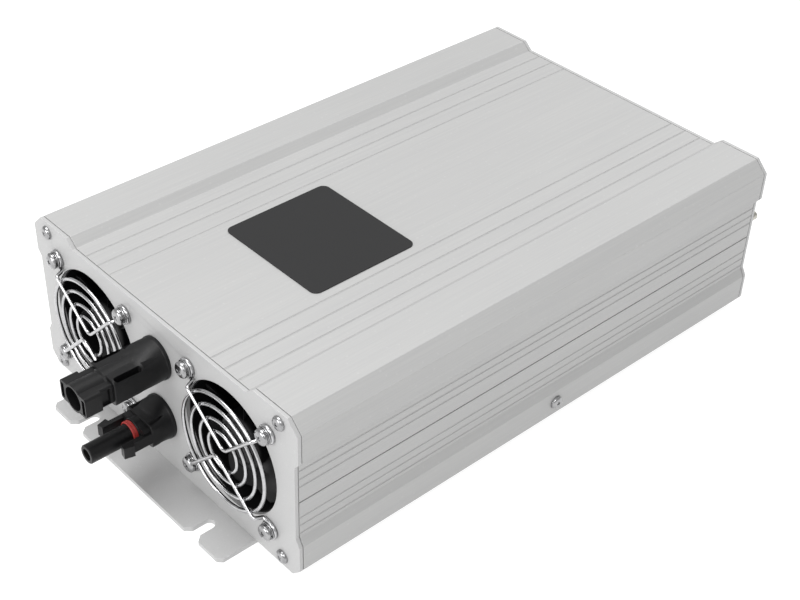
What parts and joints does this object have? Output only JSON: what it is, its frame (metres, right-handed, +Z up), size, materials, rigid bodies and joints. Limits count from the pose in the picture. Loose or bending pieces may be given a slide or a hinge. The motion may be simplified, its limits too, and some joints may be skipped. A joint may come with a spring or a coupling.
{
  "type": "string inverter",
  "caption": "Compact solar inverter: ribbed aluminium case on a slotted mounting plate, twin guarded fans and DC connectors in front, AC outlet, display and switch behind.",
  "frame": {"origin": "centre of the mounting plate's underside", "axes": "+X to the right along the front panel, +Y from the front panel to the rear panel, +Z up"},
  "size_m": [0.1818, 0.3315, 0.082],
  "materials": {
    "case_aluminium": "satin anodised, fine brushed along the extrusion",
    "panel_aluminium": "satin",
    "bright_steel": "bright zinc or nickel plate",
    "black_plastic": "moulded, semi-matte",
    "fan_plastic": "moulded",
    "label_film": "fine-grained film",
    "copper": "enamelled wire",
    "brass": "tinned",
    "seal_rubber": "silicone",
    "red_insulation": "wire insulation",
    "black_insulation": "wire insulation",
    "circuit_board": "solder mask",
    "pad_grey": "thermal pad",
    "ferrite": "coated core",
    "capacitor_sleeve": "shrink sleeve",
    "film_capacitor": "box",
    "green_plastic": "moulded",
    "display_glass": "clear acrylic",
    "button_rubber": "moulded"
  },
  "bodies": {
    "case": {"base_plate": "panel_aluminium", "base_screws": "bright_steel", "hex_nuts": "bright_steel", "lower_shell": "case_aluminium", "upper_shell": "case_aluminium", "front_panel": "panel_aluminium", "rear_panel": "panel_aluminium", "panel_screws": "bright_steel", "side_screws": "bright_steel", "name_plate": "label_film", "fan_left_frame": "fan_plastic", "fan_left_motor": "copper", "fan_left_guard": "bright_steel", "fan_right_frame": "fan_plastic", "fan_right_motor": "copper", "fan_right_guard": "bright_steel", "fan_screws": "bright_steel", "fan_washers": "bright_steel", "fan_spring_washers": "bright_steel", "fan_leads": "black_insulation", "socket_connector_body": "black_plastic", "socket_connector_contact": "brass", "plug_connector_body": "black_plastic", "plug_connector_contact": "brass", "plug_connector_seal": "seal_rubber", "connector_nuts": "black_plastic", "dc_lead_positive": "red_insulation", "dc_lead_negative": "black_insulation", "main_board": "circuit_board", "board_standoffs": "brass", "board_screws": "bright_steel", "heatsink_left": "case_aluminium", "heatsink_right": "case_aluminium", "power_transistors": "black_plastic", "insulating_pads": "pad_grey", "inductor_cores": "ferrite", "inductor_windings": "copper", "dc_link_capacitors": "capacitor_sleeve", "film_capacitors": "film_capacitor", "output_relays": "black_plastic", "control_board": "circuit_board", "terminal_blocks": "green_plastic", "ac_leads": "black_insulation", "ac_outlet_housing": "black_plastic", "ac_outlet_contacts": "brass", "ac_outlet_earth_clip": "bright_steel", "ac_outlet_screws": "bright_steel", "switch_housing": "black_plastic", "display_bezel": "black_plastic", "display_window": "display_glass", "display_module": "circuit_board", "earth_stud": "brass"},
    "left_rotor": {"fan_left_rotor": "fan_plastic"},
    "right_rotor": {"fan_right_rotor": "fan_plastic"},
    "rocker": {"switch_rocker": "button_rubber"},
    "menu_button": {"button_menu": "button_rubber"},
    "up_button": {"button_up": "button_rubber"},
    "down_button": {"button_down": "button_rubber"},
    "enter_button": {"button_enter": "button_rubber"}
  },
  "joints": [
    {"name": "left_fan_spin", "type": "hinge", "parent": "case", "child": "left_rotor", "pos_m": [-0.0468, -0.127, 0.042], "axis": [0, -1, 0], "continuous": true},
    {"name": "right_fan_spin", "type": "hinge", "parent": "case", "child": "right_rotor", "pos_m": [0.0468, -0.127, 0.042], "axis": [0, -1, 0], "continuous": true},
    {"name": "rocker_tilt", "type": "hinge", "parent": "case", "child": "rocker", "pos_m": [-0.011, 0.134, 0.042], "axis": [1, 0, 0], "range_deg": [0, 20]},
    {"name": "menu_press", "type": "slide", "parent": "case", "child": "menu_button", "axis": [0, -1, 0], "range_m": [0, 0.0012], "stiffness_N_per_m": 400},
    {"name": "up_press", "type": "slide", "parent": "case", "child": "up_button", "axis": [0, -1, 0], "range_m": [0, 0.0012], "stiffness_N_per_m": 400},
    {"name": "down_press", "type": "slide", "parent": "case", "child": "down_button", "axis": [0, -1, 0], "range_m": [0, 0.0012], "stiffness_N_per_m": 400},
    {"name": "enter_press", "type": "slide", "parent": "case", "child": "enter_button", "axis": [0, -1, 0], "range_m": [0, 0.0012], "stiffness_N_per_m": 400}
  ]
}
